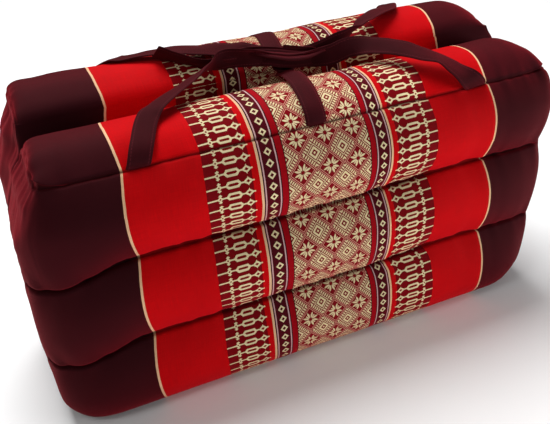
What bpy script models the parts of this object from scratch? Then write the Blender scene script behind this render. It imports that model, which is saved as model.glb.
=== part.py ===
# Folding floor cushion, folded shut like a book and stood on its fold.
# Two stuffed leaves with three sewn channels each, a cloth fold strip between
# them, two carrying handles and a pair of centre ties knotted round the handles.
# Metres, +Z up, +X along the cushion, the front leaf towards -Y.
import bpy
import bmesh
import math
from mathutils import Vector

# Leaves
SEAM_LENGTH = 0.500          # from corner to corner of the top seam
LEAF_DEPTH = 0.090           # from seam line to seam line through one leaf
LEAF_GAP = 0.012             # between the inner seam lines of the two leaves
CROWN_RISE = 0.0236          # rise of the top roll over its seams
CROWN_POWER = 2.8            # how full the top roll is across its depth
CROWN_LEFT = (6.0, 0.7)      # how late and how steeply the roll ends at the left
CROWN_RIGHT = (3.0, 0.8)     # and at the right
INNER_BULGE = 0.0048         # swell of the plain inner channels
END_GROOVE = 0.004           # depth of the channel seams on the ends
END_ZONE = 0.052             # length of the rounded end, from its start to the corner
FLOOR_INSET = 0.012          # how far the flat underside stands inside the wall
BULGE_POWER = 2.2            # how full a channel is between two seams
END_FILL_LEFT = 0.80         # how far the channel seams are filled out at the left end
END_FILL_RIGHT = 0.25        # and at the right end
SEAM_DROOP = 0.014           # the channel seams sag towards the left end
DROOP_START = 0.185          # from this far left of the middle
DROOP_END = 0.262

# One row for each channel, from the floor up: seam height over the floor on
# the front leaf, and the swell of the outer face
CHANNELS = (
    {"top": 0.0860, "bulge": 0.0115},
    {"top": 0.1715, "bulge": 0.0150},
    {"top": 0.2550, "bulge": 0.0175},
)

# One row for each height where the ends are shaped: share of the leaf's
# height, swell of the left and right ends past the seam corner, and their
# squareness in plan
END_SHAPE = (
    {"share": 0.00, "left": 0.016, "right": -0.004, "square_left": 3.8, "square_right": 2.2},
    {"share": 0.12, "left": 0.026, "right": 0.005, "square_left": 2.9, "square_right": 2.2},
    {"share": 0.35, "left": 0.029, "right": 0.012, "square_left": 2.4, "square_right": 2.3},
    {"share": 0.60, "left": 0.028, "right": 0.018, "square_left": 2.3, "square_right": 2.4},
    {"share": 0.80, "left": 0.025, "right": 0.021, "square_left": 2.5, "square_right": 2.6},
    {"share": 0.93, "left": 0.014, "right": 0.013, "square_left": 3.4, "square_right": 3.4},
    {"share": 1.00, "left": 0.004, "right": 0.004, "square_left": 6.0, "square_right": 6.0},
)

BACK_RAISE = 0.020           # the back leaf is stuffed taller than the front one
MIDDLE_SHIFT = 0.0040        # the left end swells more, so the seam's middle lies off the box's

# Mesh density of a leaf
LONG_STEPS = 14              # along the straight part
END_STEPS = 4                # along each rounded end
DEPTH_STEPS = 8              # through the leaf
CHANNEL_STEPS = 8            # up each channel

# Straps
STRAP_WIDTH = 0.020
STRAP_THICKNESS = 0.0024
ROUTE_STEPS = 5              # sections between two points of a route

# Fold strip under the valley
FOLD_LENGTH = 0.440
FOLD_THICKNESS = 0.0020
FOLD_HEIGHT = 0.0150         # of the strip's edges over the floor
FOLD_SAG = 0.0060            # of its middle
TOUCH_GAP = 0.0003           # between pieces that are sewn or pressed together

# Knot round the two handles
KNOT_CENTRE = (0.004, -0.0075, 0.2870)
KNOT_LENGTH = 0.026
KNOT_INNER_DEPTH = 0.0152
KNOT_INNER_HEIGHT = 0.0262
KNOT_THICKNESS = 0.0032
KNOT_SWELL = 0.0020          # the wrap is fuller in the middle of its width

MAROON = (0.085, 0.014, 0.020, 1.0)
RED = (0.55, 0.004, 0.006, 1.0)
STRAP_MAROON = (0.045, 0.010, 0.014, 1.0)


def clear_scene():
    for item in list(bpy.data.objects):
        bpy.data.objects.remove(item, do_unlink=True)


def cloth_material(name, colour):
    material = bpy.data.materials.new(name)
    material.use_nodes = True
    shader = material.node_tree.nodes["Principled BSDF"]
    shader.inputs["Base Color"].default_value = colour
    shader.inputs["Roughness"].default_value = 0.75
    shader.inputs["Metallic"].default_value = 0.0
    return material


def add_object(name, mesh, material):
    mesh.materials.append(material)
    mesh.shade_smooth()
    mesh.set_sharp_from_angle(angle=math.radians(50))
    item = bpy.data.objects.new(name, mesh)
    item.location.x = MIDDLE_SHIFT
    bpy.context.collection.objects.link(item)
    return item


def ease(value):
    value = min(1.0, max(0.0, value))
    return value * value * (3 - 2 * value)


def smooth_table(share, column):
    # Value of one column of END_SHAPE at a share of the height, eased between rows
    rows = END_SHAPE
    for low, high in zip(rows, rows[1:]):
        if share <= high["share"]:
            part = (share - low["share"]) / (high["share"] - low["share"])
            return low[column] + (high[column] - low[column]) * ease(part)
    return rows[-1][column]


def end_coordinates(a, b, square):
    # Moves a point of the end's unit rectangle on to a superellipse of the
    # given squareness; a runs from 0 at the end's start to 1 at its tip
    reach = max(a, abs(b))
    if reach == 0.0 or a <= 0.0:
        return a, b
    norm = (a ** square + abs(b) ** square) ** (1.0 / square)
    return a * reach / norm, b * reach / norm


def plan_point(along, across, share):
    # Point of the leaf's plan outline or its inside at one share of the
    # height: along runs -1 to 1 down the length, across -1 (outer) to 1
    straight = SEAM_LENGTH / 2 - END_ZONE
    split = LONG_STEPS / (LONG_STEPS + 2 * END_STEPS)
    side = -1.0 if along < 0 else 1.0
    if abs(along) <= split:
        return along / split * straight, across * LEAF_DEPTH / 2, 0.0, across
    end_share = (abs(along) - split) / (1.0 - split)
    name = "left" if along < 0 else "right"
    square = smooth_table(share, "square_" + name)
    reach = END_ZONE + smooth_table(share, name)
    a, b = end_coordinates(end_share, across, square)
    return side * (straight + a * reach), b * LEAF_DEPTH / 2, a, b


def crown_rise(x, end_part, across):
    # Rise of the top roll over its seams, none at the seams and the end
    late, steep = CROWN_LEFT if x < 0 else CROWN_RIGHT
    over_depth = max(0.0, 1.0 - abs(across) ** CROWN_POWER)
    over_end = max(0.0, 1.0 - end_part ** late) ** steep
    return CROWN_RISE * over_depth * over_end


def channel_levels(raise_by):
    # Heights of the wall's rings with the channel each belongs to and its
    # place there, from -1 at the lower seam to 1 at the upper one
    levels = []
    total = CHANNELS[-1]["top"]
    stretch = (total + raise_by) / total
    low = 0.0
    for index, channel in enumerate(CHANNELS):
        high = channel["top"] * stretch
        for step in range(CHANNEL_STEPS + 1):
            if step == 0 and index > 0:
                continue
            angle = math.pi * step / CHANNEL_STEPS
            place = -math.cos(angle)
            levels.append((low + (high - low) * (place + 1) / 2, index, place))
        low = high
    return levels


def face_swell(index, normal, outer_sign):
    # Swell of a channel's middle where the wall faces out, in or to the end
    facing_out = max(0.0, normal.y * outer_sign) ** 1.5
    facing_in = max(0.0, -normal.y * outer_sign) ** 1.5
    facing_end = abs(normal.x) ** 2
    return (facing_out * CHANNELS[index]["bulge"]
            + facing_in * INNER_BULGE
            + facing_end * END_GROOVE)


def wall_swell(index, place, normal, outer_sign, end_fill=0.0):
    # How far the wall stands out from the seam line at a place in a channel
    swell = face_swell(index, normal, outer_sign)
    if index == 0 and place < 0.0:
        # The lowest channel rolls under to the flat underside
        roll = math.sqrt(max(0.0, 1.0 - place * place))
        return swell * roll - FLOOR_INSET * (1.0 - roll)
    sewn = swell * (1.0 - abs(place) ** BULGE_POWER)
    if index == len(CHANNELS) - 1 and place > 0.0:
        return sewn
    # Towards the ends the stuffing fills out the seam between two channels
    beside = face_swell(index + (1 if place > 0.0 else -1), normal, outer_sign)
    filled = swell + (beside - swell) / 2 * place * place
    return sewn + (filled - sewn) * end_fill


def seam_droop(x, share):
    # How far the channel seams hang down towards the left end
    part = ease((-x - DROOP_START) / (DROOP_END - DROOP_START))
    return SEAM_DROOP * part * math.sin(math.pi * share)


def perimeter_keys():
    # Grid keys of the ring round a leaf, counter-clockwise from above
    columns = LONG_STEPS + 2 * END_STEPS
    ring = [(i, 0) for i in range(columns)]
    ring += [(columns, j) for j in range(DEPTH_STEPS)]
    ring += [(columns - i, DEPTH_STEPS) for i in range(columns)]
    ring += [(0, DEPTH_STEPS - j) for j in range(DEPTH_STEPS)]
    return ring


def grid_place(key):
    columns = LONG_STEPS + 2 * END_STEPS
    along = -1.0 + 2.0 * key[0] / columns
    across = -math.cos(math.pi * key[1] / DEPTH_STEPS)
    return along, across


def ring_points(share):
    points = []
    for key in perimeter_keys():
        along, across = grid_place(key)
        x, y, end_part, b = plan_point(along, across, share)
        points.append((Vector((x, y, 0.0)), end_part, b))
    return points


def ring_normals(points):
    count = len(points)
    normals = []
    for index in range(count):
        before = points[index - 1][0]
        after = points[(index + 1) % count][0]
        tangent = (after - before).normalized()
        normals.append(Vector((tangent.y, -tangent.x, 0.0)))
    return normals


def leaf_mesh(name, outer_sign, raise_by):
    # outer_sign is -1 for the front leaf, whose outer face looks to -Y
    centre_y = outer_sign * (LEAF_DEPTH + LEAF_GAP) / 2
    levels = channel_levels(raise_by)
    height = levels[-1][0]
    keys = perimeter_keys()
    body = bmesh.new()
    rings = []
    for z, index, place in levels:
        share = z / height
        points = ring_points(share)
        normals = ring_normals(points)
        ring = {}
        for key, (point, end_part, b), normal in zip(keys, points, normals):
            fill = (END_FILL_LEFT if point.x < 0 else END_FILL_RIGHT) * ease(end_part)
            swell = wall_swell(index, place, normal, outer_sign, fill)
            spot = point + normal * swell
            top = crown_rise(point.x, end_part, b) if share >= 1.0 else 0.0
            spot.z = z + top - seam_droop(spot.x, share)
            spot.y += centre_y
            ring[key] = body.verts.new(spot)
        rings.append(ring)
    count = len(keys)
    for low, high in zip(rings, rings[1:]):
        for index in range(count):
            key = keys[index]
            following = keys[(index + 1) % count]
            body.faces.new((low[key], low[following], high[following], high[key]))
    columns = LONG_STEPS + 2 * END_STEPS
    for ring, share, upward in ((rings[0], 0.0, False), (rings[-1], 1.0, True)):
        grid = dict(ring)
        for i in range(1, columns):
            for j in range(1, DEPTH_STEPS):
                along, across = grid_place((i, j))
                x, y, end_part, b = plan_point(along, across, share)
                z = height + crown_rise(x, end_part, b) if upward else 0.0
                draw_x = 1.0 if upward else 1.0 - 2 * FLOOR_INSET / SEAM_LENGTH
                draw_y = 1.0 if upward else 1.0 - 2 * FLOOR_INSET / LEAF_DEPTH
                grid[(i, j)] = body.verts.new((x * draw_x, y * draw_y + centre_y, z))
        for i in range(columns):
            for j in range(DEPTH_STEPS):
                corners = [grid[(i, j)], grid[(i + 1, j)], grid[(i + 1, j + 1)], grid[(i, j + 1)]]
                if not upward:
                    corners.reverse()
                body.faces.new(corners)
    mesh = bpy.data.meshes.new(name)
    body.to_mesh(mesh)
    body.free()
    return mesh


def catmull(p0, p1, p2, p3, t):
    return 0.5 * ((2 * p1) + (p2 - p0) * t + (2 * p0 - 5 * p1 + 4 * p2 - p3) * t * t
                  + (3 * p1 - p0 - 3 * p2 + p3) * t * t * t)


def smooth_route(values):
    points = [Vector(value) for value in values]
    padded = [points[0] * 2 - points[1]] + points + [points[-1] * 2 - points[-2]]
    result = []
    for index in range(1, len(padded) - 2):
        for step in range(ROUTE_STEPS):
            t = step / ROUTE_STEPS
            result.append(catmull(padded[index - 1], padded[index], padded[index + 1],
                                  padded[index + 2], t))
    result.append(points[-1])
    return result


def strap_mesh(name, rows):
    # A flat strap along a route. Each row is a point and the direction of the
    # strap's width there
    centres = smooth_route([row[0] for row in rows])
    widths = smooth_route([row[1] for row in rows])
    body = bmesh.new()
    sections = []
    for index, (centre, width) in enumerate(zip(centres, widths)):
        before = centres[max(index - 1, 0)]
        after = centres[min(index + 1, len(centres) - 1)]
        tangent = (after - before).normalized()
        across = (width - tangent * width.dot(tangent)).normalized()
        face = across.cross(tangent).normalized()
        half_width = across * (STRAP_WIDTH / 2)
        half_thick = face * (STRAP_THICKNESS / 2)
        corners = (centre - half_width - half_thick, centre + half_width - half_thick,
                   centre + half_width + half_thick, centre - half_width + half_thick)
        sections.append([body.verts.new(corner) for corner in corners])
    for low, high in zip(sections, sections[1:]):
        for index in range(4):
            following = (index + 1) % 4
            body.faces.new((low[index], low[following], high[following], high[index]))
    body.faces.new(list(reversed(sections[0])))
    body.faces.new(sections[-1])
    bmesh.ops.recalc_face_normals(body, faces=body.faces)
    mesh = bpy.data.meshes.new(name)
    body.to_mesh(mesh)
    body.free()
    return mesh


FRONT = -1
BACK = 1
FLAT = (1.0, 0.0, 0.0)                    # strap lying across, its width along X
EDGE = (0.0, 0.03, 1.0)                   # strap stood on its edge


def front_handle_rows():
    return [
        ((-0.1685, -0.1020, 0.2545), FLAT),
        ((-0.1600, -0.0880, 0.2720), FLAT),
        ((-0.1473, -0.0642, 0.2840), (0.95, -0.10, 0.05)),
        ((-0.1320, -0.0500, 0.2885), (0.80, -0.40, 0.15)),
        ((-0.1005, -0.0235, 0.2915), (0.60, -0.67, 0.28)),
        ((-0.0735, -0.0020, 0.2950), (0.55, -0.55, 0.60)),
        ((-0.0520, 0.0035, 0.2955), (0.15, -0.15, 1.0)),
        ((-0.0300, -0.0040, 0.2920), EDGE),
        ((-0.0100, -0.0117, 0.2875), EDGE),
        ((0.0040, -0.0117, 0.2870), EDGE),
        ((0.0200, -0.0117, 0.2865), EDGE),
        ((0.0490, -0.0145, 0.2868), (0.05, 0.20, 1.0)),
        ((0.0712, -0.0195, 0.2925), (0.30, 0.30, 0.80)),
        ((0.0892, -0.0362, 0.2945), (0.60, 0.50, 0.50)),
        ((0.1049, -0.0564, 0.2940), (0.66, 0.56, 0.43)),
        ((0.1174, -0.0717, 0.2915), (0.72, 0.45, 0.40)),
        ((0.1327, -0.0826, 0.2860), (0.85, 0.25, 0.35)),
        ((0.1400, -0.0935, 0.2785), (0.92, 0.10, 0.20)),
        ((0.1532, -0.1010, 0.2670), FLAT),
        ((0.1650, -0.1030, 0.2550), FLAT),
    ]


def back_handle_rows():
    return [
        ((-0.1570, 0.1020, 0.2745), FLAT),
        ((-0.1550, 0.0870, 0.2900), FLAT),
        ((-0.1498, 0.0640, 0.3040), (0.90, 0.30, 0.0)),
        ((-0.1390, 0.0590, 0.3060), (0.50, 0.80, -0.05)),
        ((-0.1280, 0.0540, 0.3065), (0.36, 0.92, -0.11)),
        ((-0.1133, 0.0490, 0.3063), (0.36, 0.92, -0.05)),
        ((-0.0912, 0.0385, 0.3057), (0.36, 0.92, 0.10)),
        ((-0.0688, 0.0310, 0.3035), (0.30, 0.92, 0.18)),
        ((-0.0435, 0.0265, 0.2997), (0.25, 0.85, 0.40)),
        ((-0.0260, 0.0110, 0.2955), (0.10, 0.40, 0.90)),
        ((-0.0100, -0.0030, 0.2880), EDGE),
        ((0.0040, -0.0033, 0.2870), EDGE),
        ((0.0200, -0.0033, 0.2868), EDGE),
        ((0.0400, -0.0030, 0.2885), EDGE),
        ((0.0600, -0.0035, 0.2930), (0.10, 0.10, 0.95)),
        ((0.0770, -0.0010, 0.2985), (0.25, -0.30, 0.85)),
        ((0.0940, 0.0070, 0.3035), (0.55, -0.65, 0.40)),
        ((0.1100, 0.0180, 0.3065), (0.58, -0.76, 0.10)),
        ((0.1313, 0.0320, 0.3070), (0.70, -0.60, 0.0)),
        ((0.1494, 0.0440, 0.3050), (0.90, -0.40, 0.0)),
        ((0.1620, 0.0660, 0.3020), FLAT),
        ((0.1670, 0.0870, 0.2900), FLAT),
        ((0.1690, 0.1020, 0.2745), FLAT),
    ]


def front_tie_rows():
    return [
        ((-0.0045, -0.1020, 0.2540), FLAT),
        ((-0.0040, -0.0860, 0.2725), FLAT),
        ((-0.0020, -0.0620, 0.2822), FLAT),
        ((0.0010, -0.0340, 0.2832), FLAT),
        ((0.0020, -0.0225, 0.2858), FLAT),
    ]


def back_tie_rows():
    return [
        ((-0.0040, 0.1020, 0.2745), FLAT),
        ((-0.0040, 0.0860, 0.2920), FLAT),
        ((-0.0030, 0.0620, 0.3018), FLAT),
        ((-0.0020, 0.0400, 0.3020), FLAT),
        ((-0.0010, 0.0200, 0.2975), FLAT),
        ((0.0020, 0.0080, 0.2920), FLAT),
    ]


def left_end_rows():
    return [
        ((-0.0140, -0.0064, 0.2885), EDGE),
        ((-0.0300, 0.0035, 0.2930), EDGE),
        ((-0.0530, 0.0105, 0.2990), EDGE),
        ((-0.0740, 0.0135, 0.3025), (0.0, -0.10, 1.0)),
        ((-0.0942, 0.0235, 0.3065), (0.0, -0.25, 1.0)),
        ((-0.1125, 0.0340, 0.3098), (0.0, -0.25, 1.0)),
    ]


def right_end_rows():
    return [
        ((0.0185, -0.0075, 0.3010), (0.0, 1.0, 0.05)),
        ((0.0300, -0.0075, 0.3035), (0.0, 1.0, 0.10)),
        ((0.0430, -0.0070, 0.3035), (0.0, 1.0, 0.15)),
    ]


def knot_mesh(name):
    # A closed wrap round the two handles, a little fuller in its middle
    around = 20
    wide = 6
    body = bmesh.new()
    inner = []
    outer = []
    cx, cy, cz = KNOT_CENTRE
    for step in range(wide + 1):
        place = -1.0 + 2.0 * step / wide
        x = cx + place * KNOT_LENGTH / 2
        thick = KNOT_THICKNESS + KNOT_SWELL * (1.0 - place * place)
        inner_ring = []
        outer_ring = []
        for turn in range(around):
            angle = 2 * math.pi * turn / around
            c = math.cos(angle)
            s = math.sin(angle)
            norm = (abs(c) ** 5 + abs(s) ** 5) ** (1 / 5)
            dy = c / norm
            dz = s / norm
            half_y = KNOT_INNER_DEPTH / 2
            half_z = KNOT_INNER_HEIGHT / 2
            inner_ring.append(body.verts.new((x, cy + dy * half_y, cz + dz * half_z)))
            outer_ring.append(body.verts.new((x, cy + dy * half_y + c * thick,
                                              cz + dz * half_z + s * thick)))
        inner.append(inner_ring)
        outer.append(outer_ring)
    for step in range(wide):
        for turn in range(around):
            after = (turn + 1) % around
            body.faces.new((outer[step][turn], outer[step][after],
                            outer[step + 1][after], outer[step + 1][turn]))
            body.faces.new((inner[step][after], inner[step][turn],
                            inner[step + 1][turn], inner[step + 1][after]))
    for turn in range(around):
        after = (turn + 1) % around
        body.faces.new((inner[0][turn], inner[0][after], outer[0][after], outer[0][turn]))
        body.faces.new((outer[wide][turn], outer[wide][after],
                        inner[wide][after], inner[wide][turn]))
    bmesh.ops.recalc_face_normals(body, faces=body.faces)
    mesh = bpy.data.meshes.new(name)
    body.to_mesh(mesh)
    body.free()
    return mesh


def valley_half_width(height):
    # Half of the room between the inner faces of the leaves low in the valley
    place = -1.0 + 2.0 * height / CHANNELS[0]["top"]
    swell = wall_swell(0, place, Vector((0.0, 1.0, 0.0)), FRONT)
    return LEAF_GAP / 2 - swell


def fold_mesh(name):
    # The cloth that joins the leaves at the bottom of the valley, sagging a little
    across_steps = 6
    body = bmesh.new()
    half_width = valley_half_width(FOLD_HEIGHT + FOLD_THICKNESS) - TOUCH_GAP
    lower = []
    upper = []
    for step in range(across_steps + 1):
        place = -1.0 + 2.0 * step / across_steps
        z = FOLD_HEIGHT - FOLD_SAG * (1.0 - place * place)
        y = place * half_width
        row_low = []
        row_high = []
        for side in (-1, 1):
            x = side * FOLD_LENGTH / 2
            row_low.append(body.verts.new((x, y, z)))
            row_high.append(body.verts.new((x, y, z + FOLD_THICKNESS)))
        lower.append(row_low)
        upper.append(row_high)
    for step in range(across_steps):
        body.faces.new((lower[step][0], lower[step + 1][0], lower[step + 1][1], lower[step][1]))
        body.faces.new((upper[step][0], upper[step][1], upper[step + 1][1], upper[step + 1][0]))
        body.faces.new((lower[step][0], upper[step][0], upper[step + 1][0], lower[step + 1][0]))
        body.faces.new((lower[step][1], lower[step + 1][1], upper[step + 1][1], upper[step][1]))
    body.faces.new((lower[0][0], lower[0][1], upper[0][1], upper[0][0]))
    body.faces.new((lower[-1][0], upper[-1][0], upper[-1][1], lower[-1][1]))
    bmesh.ops.recalc_face_normals(body, faces=body.faces)
    mesh = bpy.data.meshes.new(name)
    body.to_mesh(mesh)
    body.free()
    return mesh


def build():
    clear_scene()
    red = cloth_material("cushion_cloth", RED)
    maroon = cloth_material("fold_cloth", MAROON)
    strap = cloth_material("strap_cloth", STRAP_MAROON)
    add_object("front_leaf", leaf_mesh("front_leaf", FRONT, 0.0), red)
    add_object("back_leaf", leaf_mesh("back_leaf", BACK, BACK_RAISE), red)
    add_object("fold_strip", fold_mesh("fold_strip"), maroon)
    add_object("handle_front", strap_mesh("handle_front", front_handle_rows()), strap)
    add_object("handle_back", strap_mesh("handle_back", back_handle_rows()), strap)
    add_object("tie_front", strap_mesh("tie_front", front_tie_rows()), strap)
    add_object("tie_back", strap_mesh("tie_back", back_tie_rows()), strap)
    add_object("tie_knot", knot_mesh("tie_knot"), strap)
    add_object("tie_end_left", strap_mesh("tie_end_left", left_end_rows()), strap)
    add_object("tie_end_right", strap_mesh("tie_end_right", right_end_rows()), strap)


build()
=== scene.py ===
# Folding floor cushion: the cloth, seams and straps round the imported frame.
# Metres, +Z up, +X along the cushion, the front leaf towards -Y.
import math
import bpy
import numpy as np
from mathutils import Matrix, Vector, noise


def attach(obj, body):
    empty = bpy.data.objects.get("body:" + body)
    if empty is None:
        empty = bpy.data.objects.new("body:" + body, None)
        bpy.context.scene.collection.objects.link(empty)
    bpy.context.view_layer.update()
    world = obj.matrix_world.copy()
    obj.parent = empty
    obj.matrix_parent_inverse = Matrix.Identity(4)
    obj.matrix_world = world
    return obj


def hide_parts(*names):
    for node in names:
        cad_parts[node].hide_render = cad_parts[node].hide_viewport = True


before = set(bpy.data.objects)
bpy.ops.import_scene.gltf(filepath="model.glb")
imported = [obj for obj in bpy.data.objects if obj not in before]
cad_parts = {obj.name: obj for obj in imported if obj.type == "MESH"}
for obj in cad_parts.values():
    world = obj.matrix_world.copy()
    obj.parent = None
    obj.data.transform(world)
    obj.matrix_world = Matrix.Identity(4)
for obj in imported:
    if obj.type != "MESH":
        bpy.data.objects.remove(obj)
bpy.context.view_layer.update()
print("frame loaded with", len(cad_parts), "nodes")

middleX = 0.0040          # the seam's middle, a little right of the box's
front = -1
back = 1


# Small helpers

def ink(red, green, blue):
    # a screen colour as the shader's linear one
    linear = [(c / 255 / 12.92) if c < 10.3 else ((c / 255 + 0.055) / 1.055) ** 2.4
              for c in (red, green, blue)]
    return (*linear, 1.0)


def smoothStep(value):
    value = np.clip(value, 0.0, 1.0)
    return value * value * (3 - 2 * value)


def waviness(x, y, z=0.0):
    # smooth noise from -1 to 1 at arrays of places
    x, y, z = np.broadcast_arrays(x, y, z)
    values = [noise.noise(Vector(p)) for p in zip(x.ravel(), y.ravel(), z.ravel())]
    return np.array(values).reshape(x.shape) * 1.6


def hump(distance, width):
    return np.exp(-(distance / width) ** 2)


def makePiece(name, points, faces, material, places):
    # places holds the point's metres across and along its cloth, and a third value
    mesh = bpy.data.meshes.new(name)
    mesh.from_pydata([tuple(p) for p in points], [], faces)
    attribute = mesh.attributes.new("clothPlace", "FLOAT_VECTOR", "POINT")
    attribute.data.foreach_set("vector", places.astype(np.float32).ravel())
    mesh.materials.append(material)
    mesh.shade_smooth()
    piece = bpy.data.objects.new(name, mesh)
    bpy.context.collection.objects.link(piece)
    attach(piece, "root")
    return piece


# Camera, floor and light

cameraSet = {
    "place": (-0.2439, -0.6295, 0.5016),
    "right": (0.91916, -0.38583, -0.07924),     # of the picture, in the frame
    "down": (-0.25529, -0.43037, -0.8658),
    "lens": 46.24,
    "sensor": 36.0,
}


def addCamera():
    data = bpy.data.cameras.new("camera")
    data.lens = cameraSet["lens"]
    data.sensor_width = cameraSet["sensor"]
    data.clip_start = 0.01
    camera = bpy.data.objects.new("camera", data)
    right = Vector(cameraSet["right"]).normalized()
    up = -Vector(cameraSet["down"])
    up = (up - right * up.dot(right)).normalized()
    backward = right.cross(up)
    turn = Matrix((right, up, backward)).transposed().to_4x4()
    camera.matrix_world = Matrix.Translation(cameraSet["place"]) @ turn
    bpy.context.collection.objects.link(camera)
    bpy.context.scene.camera = camera


studio = {
    "floorSize": 9.0,
    "floorColour": (0.90, 0.90, 0.90, 1.0),
    "skyStrength": 0.19,
    # name, place, what it looks at, size, watts
    "lights": (
        ("topLight", (-0.1, 1.2, 3.0), (0.0, 0.1, 0.1), 2.0, 124.0),
        ("leftLight", (-1.0, -0.5, 1.3), (-0.24, -0.06, 0.2), 0.5, 3.2),
        ("frontLight", (1.1, -1.0, 0.24), (0.14, 0.0, 0.12), 0.5, 10.0),
    ),
}


def addStudio():
    half = studio["floorSize"] / 2
    mesh = bpy.data.meshes.new("floor")
    corners = [(-half, -half, 0), (half, -half, 0), (half, half, 0), (-half, half, 0)]
    mesh.from_pydata(corners, [], [(0, 1, 2, 3)])
    floor = bpy.data.objects.new("floor", mesh)
    paint = bpy.data.materials.new("floor_paint")
    paint.use_nodes = True
    shader = paint.node_tree.nodes["Principled BSDF"]
    shader.inputs["Base Color"].default_value = studio["floorColour"]
    shader.inputs["Roughness"].default_value = 0.9
    mesh.materials.append(paint)
    bpy.context.collection.objects.link(floor)
    world = bpy.data.worlds.new("studio")
    world.use_nodes = True
    sky = world.node_tree.nodes["Background"]
    sky.inputs["Color"].default_value = (1.0, 1.0, 1.0, 1.0)
    sky.inputs["Strength"].default_value = studio["skyStrength"]
    bpy.context.scene.world = world
    for name, place, target, size, watts in studio["lights"]:
        data = bpy.data.lights.new(name, "AREA")
        data.size = size
        data.energy = watts
        light = bpy.data.objects.new(name, data)
        light.location = place
        aim = Vector(target) - Vector(place)
        light.rotation_euler = aim.to_track_quat("-Z", "Y").to_euler()
        bpy.context.collection.objects.link(light)
    bpy.context.scene.view_settings.view_transform = "Standard"


addCamera()
addStudio()
print("camera, floor and lights are up")


# Shader arithmetic: a Shade is one number of a material, and sums with it add nodes

class Shade:
    tree = None

    def __init__(self, socket):
        self.socket = socket

    def __add__(self, other):
        return mathNode("ADD", self, other)

    def __radd__(self, other):
        return mathNode("ADD", other, self)

    def __sub__(self, other):
        return mathNode("SUBTRACT", self, other)

    def __rsub__(self, other):
        return mathNode("SUBTRACT", other, self)

    def __mul__(self, other):
        return mathNode("MULTIPLY", self, other)

    def __rmul__(self, other):
        return mathNode("MULTIPLY", other, self)

    def __truediv__(self, other):
        return mathNode("DIVIDE", self, other)

    def __abs__(self):
        return mathNode("ABSOLUTE", self)

    def __lt__(self, other):
        return mathNode("LESS_THAN", self, other)

    def __gt__(self, other):
        return mathNode("GREATER_THAN", self, other)


def setInputs(node, inputs):
    # each value is a number, a colour, a Shade or the output of a node
    for key, value in inputs.items():
        if isinstance(value, Shade):
            value = value.socket
        if isinstance(value, bpy.types.NodeSocket):
            Shade.tree.links.new(value, node.inputs[key])
        else:
            node.inputs[key].default_value = value


def addNode(kind, inputs, **settings):
    node = Shade.tree.nodes.new("ShaderNode" + kind)
    for name, value in settings.items():
        setattr(node, name, value)
    setInputs(node, inputs)
    return node


def mathNode(operation, *values):
    node = addNode("Math", dict(enumerate(values)), operation=operation)
    return Shade(node.outputs[0])


def either(*parts):
    result = parts[0]
    for part in parts[1:]:
        result = mathNode("MAXIMUM", result, part)
    return result


def without(part, hole):
    return part * (1.0 - hole)


def between(value, low, high):
    return (value > low) * (value < high)


def repeat(value, pitch, start=0.0):
    # distance from the nearest of a row of places, one of them at the start
    return abs(mathNode("FRACT", (value - start) / pitch + 0.5) - 0.5) * pitch


def inDiamond(x, y, halfLength, halfHeight):
    return (abs(x) / halfLength + y / halfHeight) < 1.0


def inHexagon(x, y, halfFlat, halfLength, halfHeight):
    slope = mathNode("MAXIMUM", abs(x) - halfFlat, 0.0) / (halfLength - halfFlat)
    return (slope + y / halfHeight) < 1.0


def softRidge(value, width):
    # 1 on the line, falling to 0 at that width beside it
    return mathNode("MAXIMUM", 1.0 - abs(value) / width, 0.0)


def clothPlace():
    # metres across and along the cloth, and the third value kept with them
    mark = addNode("Attribute", {}, attribute_name="clothPlace")
    split = addNode("SeparateXYZ", {0: mark.outputs["Vector"]})
    return [Shade(output) for output in split.outputs]


def grain(x, y, scaleX, scaleY, detail=2.0):
    place = addNode("CombineXYZ", {0: x * scaleX, 1: y * scaleY}).outputs[0]
    node = addNode("TexNoise", {"Vector": place, "Scale": 1.0, "Detail": detail})
    return Shade(node.outputs["Fac"])


def layColour(under, over, part):
    # inputs 6 and 7 of the mix are its two colours
    return addNode("Mix", {0: part, 6: under, 7: over}, data_type="RGBA").outputs[2]


def shadeColour(colour, amount):
    # brightens or darkens a colour by a number round 1
    return addNode("VectorMath", {0: colour, "Scale": amount}, operation="SCALE").outputs[0]


def startMaterial(name, roughness, sheen, sheenTint, sheenRoughness):
    # the plain roughness stays beneath the nodes that a cloth adds to it
    material = bpy.data.materials.new(name)
    material.use_nodes = True
    Shade.tree = material.node_tree
    shader = material.node_tree.nodes["Principled BSDF"]
    setInputs(shader, {
        "Roughness": roughness, "Specular IOR Level": 0.05,
        "Sheen Weight": sheen, "Sheen Tint": sheenTint, "Sheen Roughness": sheenRoughness,
    })
    return material, shader


def addBump(shader, height, strength, distance):
    node = addNode("Bump", {"Strength": strength, "Distance": distance, "Height": height})
    setInputs(shader, {"Normal": node.outputs[0]})


# The woven cloth: bands across the length, the same on both sides of the middle

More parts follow.
